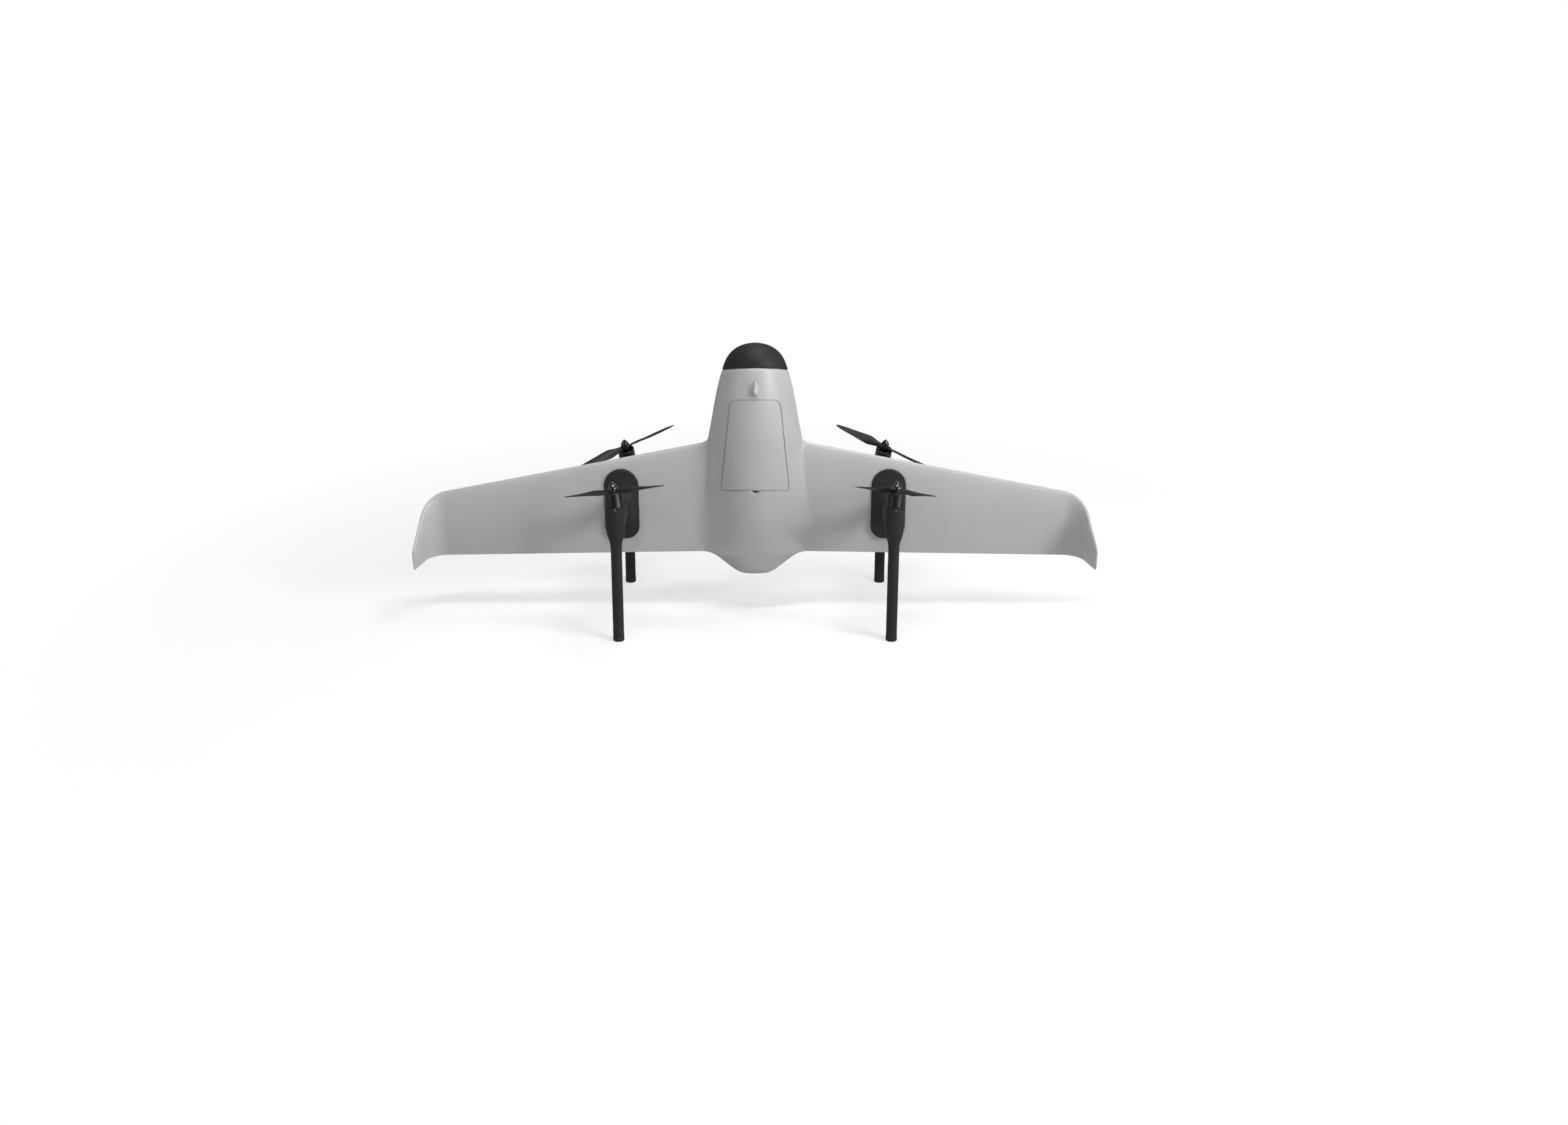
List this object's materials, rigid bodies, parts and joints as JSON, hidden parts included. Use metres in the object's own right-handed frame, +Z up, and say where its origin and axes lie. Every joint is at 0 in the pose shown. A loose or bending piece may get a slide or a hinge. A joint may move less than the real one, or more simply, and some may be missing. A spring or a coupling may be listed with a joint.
{
  "type": "fixed wing drone",
  "caption": "Tail-sitting flying-wing drone standing nose up on slim legs, with bent-up wing tips, a battery hatch and canted two-blade rotors on pylons.",
  "frame": {"origin": "on the ground, midway between the four feet", "axes": "+Z up to the nose, +X to the right wing tip, -Y to the dorsal side with the hatch"},
  "size_m": [1.0812, 0.3541, 0.446],
  "materials": {
    "airframe_grey": "satin light grey paint over moulded foam and composite",
    "black_plastic": "satin black moulded plastic",
    "dark_plastic": "matte charcoal moulded plastic",
    "propeller_plastic": "matte black glass-filled nylon",
    "spinner_gloss": "gloss black plastic",
    "anodised_metal": "dark grey anodised aluminium",
    "steel": "ground steel",
    "copper_winding": "enamelled copper wire on laminated steel",
    "red_lens": "translucent red lens",
    "foot_rubber": "matte black rubber",
    "carbon_tube": "pultruded carbon fibre",
    "battery_wrap": "blue shrink wrap",
    "connector_yellow": "yellow moulded nylon",
    "electronics_black": "black electronics case",
    "electronics_light": "off-white electronics case",
    "lens_glass": "coated camera glass",
    "cable_rubber": "black silicone wire"
  },
  "bodies": {
    "airframe": {"battery": "battery_wrap", "battery_connector": "connector_yellow", "battery_tray": "dark_plastic", "camera_bezel": "dark_plastic", "camera_lens": "lens_glass", "flight_controller": "electronics_black", "frame_magnets": "steel", "fuselage_belly_shell": "airframe_grey", "fuselage_top_shell": "airframe_grey", "gnss_module": "electronics_light", "left_wing": "airframe_grey", "leg_belly_left": "dark_plastic", "leg_belly_right": "dark_plastic", "leg_feet": "foot_rubber", "leg_top_left": "dark_plastic", "leg_top_right": "dark_plastic", "main_spar": "carbon_tube", "motor_bearings": "steel", "motor_screws": "steel", "motor_stators": "copper_winding", "nose_bulkhead": "dark_plastic", "nose_cap": "black_plastic", "payload_camera": "electronics_black", "pitot_tube": "airframe_grey", "pod_belly_left": "dark_plastic", "pod_belly_right": "dark_plastic", "pod_lights": "red_lens", "pod_top_left": "dark_plastic", "pod_top_right": "dark_plastic", "power_board": "electronics_black", "power_cables": "cable_rubber", "power_switch": "electronics_black", "pylon_belly_left": "dark_plastic", "pylon_belly_right": "dark_plastic", "pylon_top_left": "dark_plastic", "pylon_top_right": "dark_plastic", "rear_spar": "carbon_tube", "right_wing": "airframe_grey", "speed_controllers": "electronics_black", "telemetry_radio": "electronics_black"},
    "rotor_top_left": {"motor_bell_top_left": "anodised_metal", "motor_shaft_top_left": "steel", "propeller_top_left": "propeller_plastic", "spinner_top_left": "spinner_gloss"},
    "rotor_top_right": {"motor_bell_top_right": "anodised_metal", "motor_shaft_top_right": "steel", "propeller_top_right": "propeller_plastic", "spinner_top_right": "spinner_gloss"},
    "rotor_belly_left": {"motor_bell_belly_left": "anodised_metal", "motor_shaft_belly_left": "steel", "propeller_belly_left": "propeller_plastic", "spinner_belly_left": "spinner_gloss"},
    "rotor_belly_right": {"motor_bell_belly_right": "anodised_metal", "motor_shaft_belly_right": "steel", "propeller_belly_right": "propeller_plastic", "spinner_belly_right": "spinner_gloss"},
    "hatch": {"battery_hatch": "airframe_grey", "hatch_magnets": "steel"},
    "power_button": {"power_button": "dark_plastic"}
  },
  "joints": [
    {"name": "rotor_top_left_spin", "type": "hinge", "parent": "airframe", "child": "rotor_top_left", "pos_m": [-0.213, -0.126, 0.219], "axis": [-0.1149, 0.3007, 0.9468], "continuous": true},
    {"name": "rotor_top_right_spin", "type": "hinge", "parent": "airframe", "child": "rotor_top_right", "pos_m": [0.213, -0.126, 0.219], "axis": [0.1149, 0.3007, 0.9468], "continuous": true},
    {"name": "rotor_belly_left_spin", "type": "hinge", "parent": "airframe", "child": "rotor_belly_left", "pos_m": [-0.213, 0.126, 0.219], "axis": [-0.1149, -0.3007, 0.9468], "continuous": true},
    {"name": "rotor_belly_right_spin", "type": "hinge", "parent": "airframe", "child": "rotor_belly_right", "pos_m": [0.213, 0.126, 0.219], "axis": [0.1149, -0.3007, 0.9468], "continuous": true},
    {"name": "hatch_hinge", "type": "hinge", "parent": "airframe", "child": "hatch", "pos_m": [0, -0.04709, 0.3674], "axis": [-1, 0, 0], "range_deg": [0, 60]},
    {"name": "power_button_press", "type": "slide", "parent": "airframe", "child": "power_button", "axis": [0, -1, 0], "range_m": [0, 0.0015]}
  ]
}
